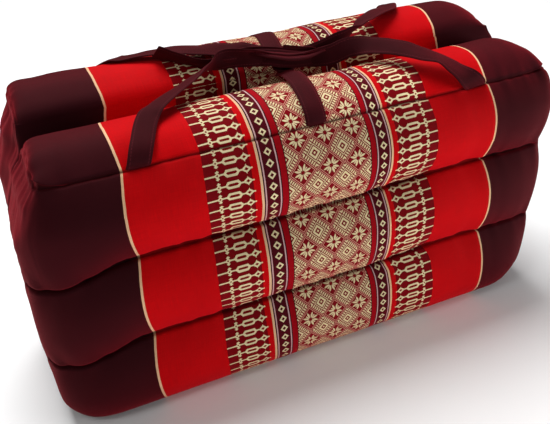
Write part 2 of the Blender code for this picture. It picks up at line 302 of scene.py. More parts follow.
combEdge = 0.1142         # from the cloth's middle to where the comb bands end
fieldEdge = 0.0412
weave = {
    "threadPitch": 0.00075,
    "patternStep": 0.00035,                # the motifs follow the threads in steps
    "wander": 0.0006,                      # of the threads from their places
    # brightness of the plain cloth, what each grain adds and what the painted shade of the seams
    # and rolls takes off
    "plainTone": 0.42, "warpTone": 0.42, "weftTone": 0.34, "broadTone": 0.40, "paintedShadeTone": 0.7,
    "maroon": ink(31, 6, 11),
    "peach": ink(230, 188, 146),
    "red": ink(192, 0, 4),
    "deepRed": ink(150, 0, 14),
    "combRed": ink(112, 0, 8),
    "cream": ink(228, 214, 168),
    "black": ink(22, 6, 14),
    "greyPink": ink(205, 165, 165),
    "columnRed": ink(62, 4, 16),
    "fieldRed": ink(120, 0, 14),
    "linePink": ink(224, 160, 138),
    # from the ends to the middle: how far from the middle each band reaches
    "bands": (
        (0.1827, "peach"), (0.1806, "red"), (combEdge, "combRed"), (0.0728, "red"),
        (0.0668, "peach"), (0.0646, "black"), (0.0634, "greyPink"), (0.0622, "columnRed"),
        (0.0496, "greyPink"), (0.0484, "black"), (0.0474, "deepRed"), (0.0420, "black"),
        (fieldEdge, "fieldRed"),
    ),
    # the comb: where its motifs lie, then half their length and height
    "combSpan": (0.0700, combEdge), "combPitch": 0.0106, "combStart": 0.0018,
    "combStar": 0.0771, "combRing": 0.0903, "combArrow": 0.1032,
    "starSize": (0.0045, 0.0035), "starRays": (0.0015, 0.0045), "starHole": (0.0019, 0.0015),
    "ringSize": (0.0048, 0.0074, 0.0033),  # the first is half of its flat side
    "ringHole": (0.0036, 0.0050, 0.0012),
    "arrowSize": (0.0030, 0.0026), "arrowHole": (0.0010, 0.0010),
    "lobePlace": (0.0002, 0.0030), "lobeSize": (0.0019, 0.0014),
    "stemSpan": (0.0714, combEdge), "stemWidth": 0.0007, "barHeight": 0.0028,
    # the column of small diamonds
    "columnSpan": (0.0500, 0.0618), "columnMiddle": 0.0558,
    "columnPitch": 0.0104, "columnStart": 0.0026,
    "columnSize": (0.0039, 0.0040), "columnHole": (0.0018, 0.0019),
    "fieldLength": 0.0275,                 # repeat of the flower diamonds along X
    "fieldHeight": 0.0303, "fieldStart": 0.0091,
    # lines of its diamonds, as shares of the way from a flower to the ringed diamond
    "latticeLines": ((0.81, 0.86), (0.95, 1.00)),
    # and from the ringed diamond outwards
    "ringCore": 0.09, "ringLines": ((0.23, 0.41), (0.50, 0.57)),
    "tickLine": (0.64, 0.94), "tickCount": 4.2, "tickStart": 0.25, "tickShare": 0.55,
    "petalLean": (0.94, 0.34),             # cosine and sine, from the flower's axes
    "petalMiddle": 0.0050, "petalLength": 0.0034, "petalWidth": 0.0010,
    "thinPetal": (0.0022, 0.0062), "thinWidth": 0.0008,
}


def combPart(reach, down):
    # one finger: a pointed star, a long ring, a three-lobed arrow and its tail
    t = repeat(down, weave["combPitch"], weave["combStart"])
    star = reach - weave["combStar"]
    ring = reach - weave["combRing"]
    arrow = reach - weave["combArrow"]
    lobeBack, lobeAside = weave["lobePlace"]
    filled = either(
        between(reach, *weave["stemSpan"]) * (t < weave["stemWidth"]),
        inDiamond(star, t, *weave["starSize"]),
        inDiamond(star, t, *weave["starRays"]),
        inHexagon(ring, t, *weave["ringSize"]),
        inDiamond(arrow, t, *weave["arrowSize"]),
        inDiamond(arrow + lobeBack, abs(t - lobeAside), *weave["lobeSize"]),
        (abs(arrow) < weave["stemWidth"]) * (t < weave["barHeight"]),
    )
    holes = either(
        inDiamond(star, t, *weave["starHole"]),
        inHexagon(ring, t, *weave["ringHole"]),
        inDiamond(arrow, t, *weave["arrowHole"]),
    )
    return without(filled, holes)


def columnPart(reach, down):
    t = repeat(down, weave["columnPitch"], weave["columnStart"])
    x = reach - weave["columnMiddle"]
    whole = inDiamond(x, t, *weave["columnSize"])
    return without(whole, inDiamond(x, t, *weave["columnHole"]))


def fieldParts(across, down):
    # flowers in diamonds, ringed diamonds between them, and rows of ticks along both
    halfLength = weave["fieldLength"] / 2
    halfHeight = weave["fieldHeight"] / 2
    p = repeat(across, weave["fieldLength"])
    q = repeat(down, weave["fieldHeight"], weave["fieldStart"])
    metric = p / halfLength + q / halfHeight
    lattice = either(*[between(metric, *line) for line in weave["latticeLines"]])
    nested = 2.0 - metric
    ringLines = [between(nested, *line) for line in weave["ringLines"]]
    rings = either(nested < weave["ringCore"], *ringLines)
    along = abs(p / halfLength - q / halfHeight)
    dashes = mathNode("FRACT", along * weave["tickCount"] + weave["tickStart"])
    ticks = (dashes < weave["tickShare"]) * between(nested, *weave["tickLine"])
    # the flower's petals lie beside the axes, two at each, with thin ones between
    big = mathNode("MAXIMUM", p, q)
    small = mathNode("MINIMUM", p, q)
    straight, sideways = weave["petalLean"]
    place = big * straight + small * sideways - weave["petalMiddle"]
    place = place / weave["petalLength"]
    aside = abs(small * straight - big * sideways)
    petals = aside < (1.0 - place * place) * weave["petalWidth"]
    slant = (big + small) * 0.707
    thin = (big - small < weave["thinWidth"]) * between(slant, *weave["thinPetal"])
    return lattice, either(rings, ticks, petals, thin)


def cushionCloth():
    material, shader = startMaterial("woven_band_cloth", 0.72, 0.4, ink(235, 45, 62), 0.55)
    # the third value here is painted shade: dark lines in the seams' grooves and darker cloth
    # under each roll
    across, down, seam = clothPlace()
    # the threads wander a little, and the comb and the column follow them in steps
    wander = (grain(across, down, 90.0, 90.0) - 0.5) * weave["wander"]
    threadAcross = across + wander
    threadDown = down + wander
    steppedReach = abs(mathNode("SNAP", threadAcross, weave["patternStep"]))
    steppedDown = mathNode("SNAP", threadDown, weave["patternStep"])
    reach = abs(threadAcross)
    colour = weave["maroon"]
    for limit, name in weave["bands"]:
        colour = layColour(colour, weave[name], reach < limit)
    inField = reach < fieldEdge
    comb = combPart(steppedReach, steppedDown) * between(reach, *weave["combSpan"])
    column = columnPart(steppedReach, steppedDown) * between(reach, *weave["columnSpan"])
    lattice, motifs = fieldParts(threadAcross, threadDown)    # slanted lines, so unstepped
    colour = layColour(colour, weave["linePink"], lattice * inField)
    cream = either(comb, column, motifs * inField)
    colour = layColour(colour, weave["cream"], cream)
    # slubs in both directions, broad unevenness, and the painted shade in the seams' grooves and
    # under each roll
    warp = grain(across, down, 1500.0, 60.0)
    weft = grain(across, down, 60.0, 1500.0)
    broad = grain(across, down, 14.0, 14.0, 3.0)
    tone = weave["plainTone"] + warp * weave["warpTone"] + weft * weave["weftTone"]
    tone = tone + broad * weave["broadTone"]
    # painted shade darkens the colour in the seams' grooves and under each roll
    colour = shadeColour(colour, tone * (1.0 - seam * weave["paintedShadeTone"]))
    setInputs(shader, {"Base Color": colour, "Roughness": 0.62 + warp * 0.24})
    turns = 2 * math.pi / weave["threadPitch"]
    threads = mathNode("SINE", across * turns) * mathNode("SINE", down * turns)
    height = threads * 0.35 + (warp + weft) * 0.5 + cream * 0.8
    addBump(shader, height, 0.55, 0.00022)
    return material


strapLook = {
    "maroon": ink(41, 8, 13),
    "thread": ink(96, 34, 42),
    "stitchPitch": 0.0028,
    "stitchInset": 0.0024,
    "stitchWidth": 0.0005, "stitchShare": 0.72,
    "twillPitch": 0.0011,
    "plainTone": 0.62, "slubTone": 0.36, "broadTone": 0.40, "waveTone": 0.15,
}


def strapCloth(width):
    material, shader = startMaterial("strap_twill", 0.75, 0.34, ink(205, 48, 62), 0.55)
    across, along, wave = clothPlace()
    fromEdge = width / 2 - abs(across)
    rowOfStitches = softRidge(fromEdge - strapLook["stitchInset"], strapLook["stitchWidth"])
    dash = mathNode("FRACT", along / strapLook["stitchPitch"]) < strapLook["stitchShare"]
    stitch = rowOfStitches * dash
    slub = grain(across, along, 1300.0, 80.0)
    broad = grain(across, along, 60.0, 22.0, 3.0)
    colour = layColour(strapLook["maroon"], strapLook["thread"], stitch * 0.6)
    tone = strapLook["plainTone"] + slub * strapLook["slubTone"]
    tone = tone + broad * strapLook["broadTone"] + wave * strapLook["waveTone"]
    colour = shadeColour(colour, tone)
    setInputs(shader, {"Base Color": colour, "Roughness": 0.65 + slub * 0.22})
    turns = 2 * math.pi / strapLook["twillPitch"]
    twill = mathNode("SINE", (across + along) * turns)
    height = twill * 0.3 + slub * 0.6 + stitch * 0.9 - rowOfStitches * 0.8
    addBump(shader, height, 0.6, 0.0003)
    return material


def plainCloth():
    material, shader = startMaterial("plain_maroon_cloth", 0.8, 0.8, ink(215, 60, 80), 0.57)
    across, along, _ = clothPlace()
    slub = grain(across, along, 1200.0, 90.0)
    broad = grain(across, along, 20.0, 20.0, 3.0)
    tone = 0.65 + slub * 0.35 + broad * 0.3
    colour = layColour(weave["maroon"], strapLook["thread"], slub * 0.15)
    setInputs(shader, {"Base Color": shadeColour(colour, tone)})
    turns = 2 * math.pi / weave["threadPitch"]
    threads = mathNode("SINE", across * turns) * mathNode("SINE", along * turns)
    addBump(shader, threads * 0.4 + slub * 0.6, 0.5, 0.0002)
    return material


# The two stuffed leaves

leafSet = {
    "seamLength": 0.500, "depth": 0.090, "gap": 0.012,
    "crownRise": 0.0236, "crownPower": 2.8,
    "crownLeft": (12.0, 0.55),             # how late and how steeply the roll ends
    "crownRight": (4.6, 0.8),
    # towards the valley the ends square off, and both leaves end alike
    "innerSquare": 24.0, "innerTurn": 1.4, "shareTurn": 1.6,
    # at the left the inner faces swell this far, from this part of the end on
    "endMeet": 0.0055, "meetStart": 0.2, "meetReach": 0.4, "meetTop": 0.15,
    "innerRound": 0.35,                    # the roll turns softly down into the valley
    "innerBulge": 0.0048, "endGroove": 0.004, "endZone": 0.052,
    "endFillLeft": 0.80, "endFillRight": 0.65,
    "floorInset": 0.012, "bulgePower": 2.2,
    "channelTops": (0.0860, 0.1715, 0.2550),
    "channelBulges": (0.0115, 0.0150, 0.0175),
    "backRaise": 0.020,
    "longSteps": 150, "endSteps": 34, "depthSteps": 40, "channelSteps": 34,
    "gatherLeft": 0.036,                   # the bands spread this much between seams
    "gatherRight": 0.013,
    "gatherCrown": 0.018,
    "backShift": 0.010,                    # the back leaf's bands lie further right
    "rightTake": 0.022,                    # the bands at the right lie further in
    "rightPull": 0.0033, "pullMiddle": 0.075, "pullReach": 0.022,
    "lowShift": 0.0045, "lowMiddle": 0.095, "lowReach": 0.045, "lowFade": 0.3,
    "seamJog": 0.006, "seamTake": 0.0132,  # the bands don't quite meet at the top seam
    "pinchDepth": 0.0038, "pinchWidth": 0.0019,
    "topPinch": 0.0020, "topPinchWidth": 0.0014,
    "endPinch": 0.0010, "endPinchWidth": 0.0018,
    "endSeamPlace": 0.955,                 # of the seam that closes the roll, in the end
    "seamDroop": 0.014, "droopStart": 0.185, "droopEnd": 0.262,
    "seamLift": 0.0042, "liftStart": 0.0, "liftEnd": 0.15,
    "puckerDepth": 0.0009, "puckerPitch": 0.0085, "puckerReach": 0.010, "puckerAtEnd": 1.2,
    "gatherDepth": 0.0012, "gatherPitch": 0.017, "gatherReach": 0.030, "gatherAtEnd": 1.0,
    "ripplePitch": 0.0080, "rippleDepth": 0.0016, "rippleReach": 0.010,
    "creasePitch": 0.0085, "creaseDepth": 0.0021, "creaseReach": 0.045,
    "lumpDepth": 0.0011, "lumpPitch": 0.055,
    # widths of the painted shade lines in the seams' grooves, and the painted shade of the cloth
    # below each roll
    "seamShade": 0.0022, "topShade": 0.0016, "endShade": 0.0020,
    "underShade": 0.40, "underStart": -0.5, "underReach": 1.4,
    "earPull": (0.0010, 0.0008, 0.0002), "earSize": 0.0060,
    "dimplePlace": 0.0110, "dimpleDepth": 0.0018, "dimpleSize": 0.0060,
}

# share of the height, swell past the seam's corner and squareness in plan
endShape = {
    "share": (0.00, 0.12, 0.35, 0.60, 0.80, 0.93, 1.00),
    "left": (0.016, 0.026, 0.029, 0.028, 0.025, 0.014, 0.004),
    "right": (-0.004, 0.005, 0.012, 0.016, 0.018, 0.012, 0.004),
    "squareLeft": (3.8, 2.9, 2.4, 2.3, 2.5, 3.4, 6.0),
    "squareRight": (2.2, 2.2, 2.3, 2.4, 2.6, 3.4, 6.0),
}


def shapeAt(share, column):
    shares = endShape["share"]
    values = endShape[column]
    for index in range(len(shares) - 1):
        if share <= shares[index + 1]:
            part = (share - shares[index]) / (shares[index + 1] - shares[index])
            eased = float(smoothStep(part))
            return values[index] + (values[index + 1] - values[index]) * eased
    return values[-1]


def planPoints(along, across, share, height, outerSign):
    # plan of a leaf at one share of its height, from keys -1 to 1 both ways
    s = leafSet
    straight = s["seamLength"] / 2 - s["endZone"]
    split = s["longSteps"] / (s["longSteps"] + 2 * s["endSteps"])
    left = along < 0
    a = np.sin(np.clip((np.abs(along) - split) / (1 - split), 0, 1) * np.pi / 2)
    square = np.where(left, shapeAt(share, "squareLeft"), shapeAt(share, "squareRight"))
    square = square + s["innerSquare"] * smoothStep(-across * outerSign * s["innerTurn"])
    # towards the valley both leaves end alike, however tall they are
    shared = shapeAt(min(1.0, share * height / s["channelTops"][-1]), "left")
    own = shapeAt(share, "left")
    blend = smoothStep(-across * outerSign * s["shareTurn"])
    leftSwell = own + (shared - own) * blend
    reach = s["endZone"] + np.where(left, leftSwell, shapeAt(share, "right"))
    norm = (a ** square + np.abs(across) ** square) ** (1 / square)
    onto = np.maximum(a, np.abs(across)) / np.maximum(norm, 1e-9)
    inEnd = a > 0
    endPart = np.where(inEnd, a * onto, 0.0)
    b = np.where(inEnd, across * onto, across)
    x = np.where(inEnd, straight + endPart * reach, np.abs(along) / split * straight)
    return np.where(left, -x, x), b * s["depth"] / 2, endPart, b


def crownRise(x, endPart, inward):
    # inward runs from -1 at the outer seam to 1 at the valley
    s = leafSet
    late = np.where(x < 0, s["crownLeft"][0], s["crownRight"][0])
    steep = np.where(x < 0, s["crownLeft"][1], s["crownRight"][1])
    roundOver = 1 - s["innerRound"] * smoothStep((inward - 0.5) / 0.5)
    overDepth = np.clip(1 - np.abs(inward) ** s["crownPower"], 0, None) ** roundOver
    overEnd = np.clip(1 - endPart ** late, 0, None) ** steep
    return s["crownRise"] * overDepth * overEnd


def endSeamGap(x, endPart, inward):
    # way over the roll's end from each point to the seam that closes it
    s = leafSet
    steps = np.linspace(0, 1, 13)[:, None]
    part = endPart + (s["endSeamPlace"] - endPart) * steps
    rise = crownRise(x, part, inward)
    run = part * (s["endZone"] + endShape["left"][-1])
    return np.hypot(np.diff(run, axis=0), np.diff(rise, axis=0)).sum(0)


def channelLevels(raiseBy):
    s = leafSet
    total = s["channelTops"][-1]
    stretch = (total + raiseBy) / total
    levels = []
    low = 0.0
    for index, top in enumerate(s["channelTops"]):
        high = top * stretch
        for step in range(s["channelSteps"] + 1):
            if step == 0 and index > 0:
                continue
            place = -math.cos(math.pi * step / s["channelSteps"])
            levels.append((low + (high - low) * (place + 1) / 2, index, place))
        low = high
    return levels


def faceSwell(index, normalX, normalY, outerSign):
    s = leafSet
    facingOut = np.clip(normalY * outerSign, 0, None) ** 1.5
    facingIn = np.clip(-normalY * outerSign, 0, None) ** 1.5
    return (facingOut * s["channelBulges"][index] + facingIn * s["innerBulge"]
            + normalX ** 2 * s["endGroove"])


def wallSwell(index, place, normalX, normalY, outerSign, endFill=0.0):
    s = leafSet
    swell = faceSwell(index, normalX, normalY, outerSign)
    if index == 0 and place < 0:
        roll = math.sqrt(max(0.0, 1 - place * place))
        return swell * roll - s["floorInset"] * (1 - roll)
    sewn = swell * (1 - abs(place) ** s["bulgePower"])
    if index == len(s["channelTops"]) - 1 and place > 0:
        return sewn
    # towards the ends the stuffing fills out the seam between two channels
    beside = faceSwell(index + (1 if place > 0 else -1), normalX, normalY, outerSign)
    filled = swell + (beside - swell) / 2 * place * place
    return sewn + (filled - sewn) * endFill


def seamDroop(x, share):
    # the channel seams sag towards the left end and rise a little to the right
    s = leafSet
    part = smoothStep((-x - s["droopStart"]) / (s["droopEnd"] - s["droopStart"]))
    lift = smoothStep((x - s["liftStart"]) / (s["liftEnd"] - s["liftStart"]))
    return (s["seamDroop"] * part - s["seamLift"] * lift) * math.sin(math.pi * share)


def ringKeys():
    columns = leafSet["longSteps"] + 2 * leafSet["endSteps"]
    rows = leafSet["depthSteps"]
    ring = [(i, 0) for i in range(columns)]
    ring += [(columns, j) for j in range(rows)]
    ring += [(columns - i, rows) for i in range(columns)]
    ring += [(0, rows - j) for j in range(rows)]
    return ring


def keyPlaces(keys):
    columns = leafSet["longSteps"] + 2 * leafSet["endSteps"]
    i = np.array([key[0] for key in keys], float)
    j = np.array([key[1] for key in keys], float)
    return -1 + 2 * i / columns, -np.cos(np.pi * j / leafSet["depthSteps"])


def arcFrom(points):
    steps = np.linalg.norm(np.diff(points, axis=0), axis=1)
    return np.concatenate(([0.0], np.cumsum(steps)))


def ringNormals(x, y):
    tangentX = np.roll(x, -1) - np.roll(x, 1)
    tangentY = np.roll(y, -1) - np.roll(y, 1)
    size = np.hypot(tangentX, tangentY)
    return tangentY / size, -tangentX / size


def ringWay(x, y, outerSign):
    # way round the ring from the middle of the outer face, in both directions
    step = np.hypot(x - np.roll(x, 1), y - np.roll(y, 1))
    around = np.cumsum(step)
    # the 10 keeps the points of the inner face out
    outerMiddle = np.argmin(np.abs(x) + 10 * (y * outerSign < 0))
    around = around - around[outerMiddle]
    total = step.sum()
    return (around + total / 2) % total - total / 2


def bandsAcross(x, way, index, place):
    # where a point of the wall lies across the bands
    s = leafSet
    gather = np.where(x < 0, s["gatherLeft"], s["gatherRight"])
    spread = (1 + gather * (1 - place ** 2)) * (1 - s["rightTake"] * (x > 0))
    u = way / spread
    u = u + s["rightPull"] * hump(u - s["pullMiddle"], s["pullReach"])
    if index == 0:
        # in the lowest channel the bands at the right lie further out
        fade = smoothStep((1 - place) / s["lowFade"])
        u = u - s["lowShift"] * hump(u - s["lowMiddle"], s["lowReach"]) * fade
    return u


def wallRing(level, height, down, seamsDown, crownWay, keys, outerSign):
    # one ring of the wall, with what is kept with each of its points
    s = leafSet
    z, index, place = level
    share = z / height
    x, y, endPart, b = planPoints(*keyPlaces(keys), share, height, outerSign)
    normalX, normalY = ringNormals(x, y)
    fill = np.where(x < 0, s["endFillLeft"], s["endFillRight"]) * smoothStep(endPart)
    swell = wallSwell(index, place, normalX, normalY, outerSign, fill)
    # at the left the two leaves close up towards each other
    meet = smoothStep((endPart - s["meetStart"]) / s["meetReach"]) * (x < 0)
    meet = meet * smoothStep((1 - share) / s["meetTop"])
    meet = meet * np.clip(-normalY * outerSign, 0, 1)
    swell = swell + (s["endMeet"] - swell) * meet
    swollenX = x + normalX * swell
    rise = crownRise(x, endPart, -b * outerSign) * (share >= 1.0)
    lifted = z + rise - seamDroop(swollenX, share)
    outerSide = normalY * outerSign > 0
    way = np.where(outerSide, -ringWay(x, y, outerSign) * outerSign, x)
    u = bandsAcross(x, way, index, place)
    v = np.where(outerSide, down, -crownWay - down)
    endFace = smoothStep((np.abs(normalX) - 0.3) / 0.6)
    # painted shade on the outer face, darkest just under the seam above each channel, where the
    # roll above overhangs it
    under = smoothStep((place - s["underStart"]) / s["underReach"])
    lip = endSeamGap(x, endPart, -b * outerSign)
    return {
        "points": np.stack((swollenX, y + normalY * swell, lifted), 1),
        "places": np.stack((u, v, 0 * x), 1),
        "seamGap": np.full(len(x), min(abs(down - seam) for seam in seamsDown)),
        "topGap": np.where(normalY * outerSign > 0.3, down, 1.0),
        "endGap": np.where(endFace > 0.3, down + lip * endFace, 1.0),
        "endPart": endPart * np.sign(x),
        "endFace": endFace,
        "under": under * outerSide * (1 - endFace),
    }


def capGrid(share, height, wayDown, crossing, crownArc, keys, outerSign):
    # the points inside the underside's ring or the crown's
    s = leafSet
    x, y, endPart, b = planPoints(*keyPlaces(keys), share, height, outerSign)
    inward = -b * outerSign
    arc = np.interp(inward, crossing, crownArc)
    none = np.zeros(len(x))
    far = none + 1.0
    grid = {"seamGap": far, "topGap": far, "endGap": far,
            "endPart": endPart * np.sign(x), "endFace": none, "under": none}
    if share == 0.0:
        innerX = x * (1 - 2 * s["floorInset"] / s["seamLength"])
        innerY = y * (1 - 2 * s["floorInset"] / s["depth"])
        grid["points"] = np.stack((innerX, innerY, none), 1)
        grid["places"] = np.stack((x, wayDown + arc, none), 1)
        return grid
    take = s["rightTake"] + s["seamJog"]
    spread = (1 + s["gatherCrown"] * (1 - b * b)) * (1 - take * (x > 0))
    u = x / spread
    pull = s["rightPull"] * hump(u - s["pullMiddle"], s["pullReach"])
    u = u + pull * (1 - inward) / 2
    grid["points"] = np.stack((x, y, height + crownRise(x, endPart, inward)), 1)
    grid["places"] = np.stack((u, -arc - s["seamTake"], none), 1)
    grid["topGap"] = arc
    grid["endGap"] = np.where(endPart > 0.4, endSeamGap(x, endPart, inward), 1.0)
    return grid


def leafFaces(ringCount, ring, inner):
    # quads round the wall, then those of the underside and the crown
    count = len(ring)
    faces = []
    for low in range(0, (ringCount - 1) * count, count):
        high = low + count
        for k in range(count):
            n = (k + 1) % count
            faces.append((low + k, low + n, high + n, high + k))
    wallTotal = ringCount * count
    columns = leafSet["longSteps"] + 2 * leafSet["endSteps"]
    caps = ((0, wallTotal, False), (wallTotal - count, wallTotal + len(inner), True))
    for ringStart, gridStart, upward in caps:
        number = {key: ringStart + k for k, key in enumerate(ring)}
        number.update({key: gridStart + k for k, key in enumerate(inner)})
        for i in range(columns):
            for j in range(leafSet["depthSteps"]):
                corners = (number[i, j], number[i + 1, j], number[i + 1, j + 1], number[i, j + 1])
                faces.append(corners if upward else corners[::-1])
    return faces


def leafGrid(outerSign, raiseBy):
    # the leaf's closed grid, with the cloth place and the marks of each point
    s = leafSet
    levels = channelLevels(raiseBy)
    height = levels[-1][0]
    middle = np.array([(wallSwell(i, p, 0.0, outerSign, outerSign), z) for z, i, p in levels])
    upTo = arcFrom(middle)
    downTo = upTo[-1] - upTo
    crossing = np.linspace(-1, 1, 81)
    crownArc = arcFrom(np.stack((crossing * s["depth"] / 2, crownRise(0.0, 0.0, crossing)), 1))
    seamsDown = [downTo[n * s["channelSteps"]] for n in range(1, len(s["channelTops"]))]
    ring = ringKeys()
    columns = s["longSteps"] + 2 * s["endSteps"]
    inner = [(i, j) for i in range(1, columns) for j in range(1, s["depthSteps"])]
    parts = [wallRing(level, height, down, seamsDown, crownArc[-1], ring, outerSign)
             for level, down in zip(levels, downTo)]
    parts += [capGrid(share, height, downTo[0], crossing, crownArc, inner, outerSign)
              for share in (0.0, 1.0)]
    grid = {label: np.concatenate([part[label] for part in parts]) for label in parts[0]}
    grid["points"][:, 1] += outerSign * (s["depth"] + s["gap"]) / 2
    return grid, leafFaces(len(levels), ring, inner)


def outward(points, faces):
    # unit normal of each point of a closed grid of quads
    quads = np.array(faces)
    cross = np.cross(points[quads[:, 2]] - points[quads[:, 0]],
                     points[quads[:, 3]] - points[quads[:, 1]])
    normals = np.zeros_like(points)
    for corner in range(4):
        np.add.at(normals, quads[:, corner], cross)
    return normals / np.maximum(np.linalg.norm(normals, axis=1, keepdims=True), 1e-12)


def sewnRelief(grid, seed):
    # pinched seams, puckers beside them, long gathers and the stuffing's lumps
    s = leafSet
    points = grid["points"]
    sewn = np.minimum(grid["seamGap"], grid["topGap"])
    endGap = grid["endGap"]
    atEnd = np.abs(grid["endPart"])
    onFloor = smoothStep(points[:, 2] / 0.02)
    x, y, z = points.T
    u = grid["places"][:, 0]
    puckers = waviness(u / s["puckerPitch"], seed, sewn * 18)
    gathers = waviness(u / s["gatherPitch"], seed + 7.3, sewn * 6)
    ripples = waviness(y / s["ripplePitch"], seed + x * 9, endGap * 25)
    creases = waviness(y / s["creasePitch"] + z * 9, seed + 3.1, z * 14)
    lumps = waviness(x / s["lumpPitch"], y / s["lumpPitch"] + seed, z / s["lumpPitch"])
    relief = -s["pinchDepth"] * hump(grid["seamGap"], s["pinchWidth"])
    relief -= s["topPinch"] * hump(grid["topGap"], s["topPinchWidth"])
    relief -= s["endPinch"] * hump(endGap, s["endPinchWidth"])
    more = 1 + s["puckerAtEnd"] * atEnd
    relief += puckers * s["puckerDepth"] * more * np.exp(-sewn / s["puckerReach"])
    more = 1 + s["gatherAtEnd"] * atEnd
    relief += gathers * s["gatherDepth"] * more * np.exp(-sewn / s["gatherReach"])
    relief += ripples * s["rippleDepth"] * np.exp(-endGap / s["rippleReach"])
    # the end cloth hangs in sharp creases under its seam
    sharp = np.clip(1 - np.abs(creases) * 2.6, 0, 1) - 0.2
    relief += sharp * s["creaseDepth"] * grid["endFace"] * np.exp(-endGap / s["creaseReach"])
    relief += lumps * s["lumpDepth"]
    return relief * onFloor


def shapeCorners(points, outerSign, height):
    # the top seam's corners stick out as small ears, with a pinch beside them
    s = leafSet
    seamY = outerSign * (s["depth"] + s["gap"] / 2)
    for side in (-1, 1):
        corner = np.array((side * s["seamLength"] / 2, seamY, height))
        away = np.linalg.norm(points - corner, axis=1)
        pull = np.array(s["earPull"]) * (side, outerSign, 1)
        points = points + hump(away, s["earSize"])[:, None] * pull
        dimple = corner - (side * s["dimplePlace"], 0, s["dimplePlace"] * 0.6)
        away = np.linalg.norm(points - dimple, axis=1)
        points[:, 1] -= outerSign * s["dimpleDepth"] * hump(away, s["dimpleSize"])
    return points


def paintedShade(grid):
    # painted shade from 0 to 1: dark lines in the seams' grooves, and darker cloth under each
    # roll, where the roll above overhangs it
    s = leafSet
    seams = np.maximum(hump(grid["topGap"], s["topShade"]), hump(grid["endGap"], s["endShade"]))
    seams = np.maximum(hump(grid["seamGap"], s["seamShade"]), seams)
    return np.maximum(seams, s["underShade"] * grid["under"])


def buildLeaf(name, outerSign, raiseBy, seed, bandShift):
    grid, faces = leafGrid(outerSign, raiseBy)
    relief = sewnRelief(grid, seed)
    points = grid["points"] + outward(grid["points"], faces) * relief[:, None]
    points = shapeCorners(points, outerSign, leafSet["channelTops"][-1] + raiseBy)
    points[:, 2] = np.maximum(points[:, 2], 0.0)
    points[:, 0] += middleX
    places = grid["places"]
    places[:, 0] -= bandShift
    # the third value is the painted shade of the seams' grooves and of the cloth under each roll
    places[:, 2] = paintedShade(grid)
    return makePiece(name, points, faces, clothOfCushion, places)


clothOfCushion = cushionCloth()
frontLeaf = buildLeaf("front_cushion_leaf", front, 0.0, 1.7, 0.0)
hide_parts("front_leaf")
backLeaf = buildLeaf("back_cushion_leaf", back, leafSet["backRaise"], 9.1,
                     leafSet["backShift"])
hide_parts("back_leaf")
print("both leaves are sewn")


# Straps: a folded and edge-stitched ribbon along a route

strapSet = {
    "width": 0.020, "thickness": 0.0024,
    "step": 0.0022, "fineSteps": 20,       # between sections, and in each part of a route
    "sides": 12,                           # strips across the width
    "edgeDip": 0.00022,                    # of the stitched rows
    "edgeThickness": 0.10,                 # share of the middle's, squared
    "stitchRow": 0.76, "stitchWidth": 0.10,
    "flutter": 0.0004, "flutterPitch": 0.030,
    "leastCurl": 0.02,                     # keeps the arc's radius from running away
    "curlLevel": 3.5,                      # sets the route between the arc's crown and edges
    "cutReach": 0.020,
    "cuts": {"tie_end_left": -0.0040, "tie_end_right": -0.0050},
}
flat = (1.0, 0.0, 0.0)                     # width along X
edge = (0.0, 0.03, 1.0)                    # stood on its edge

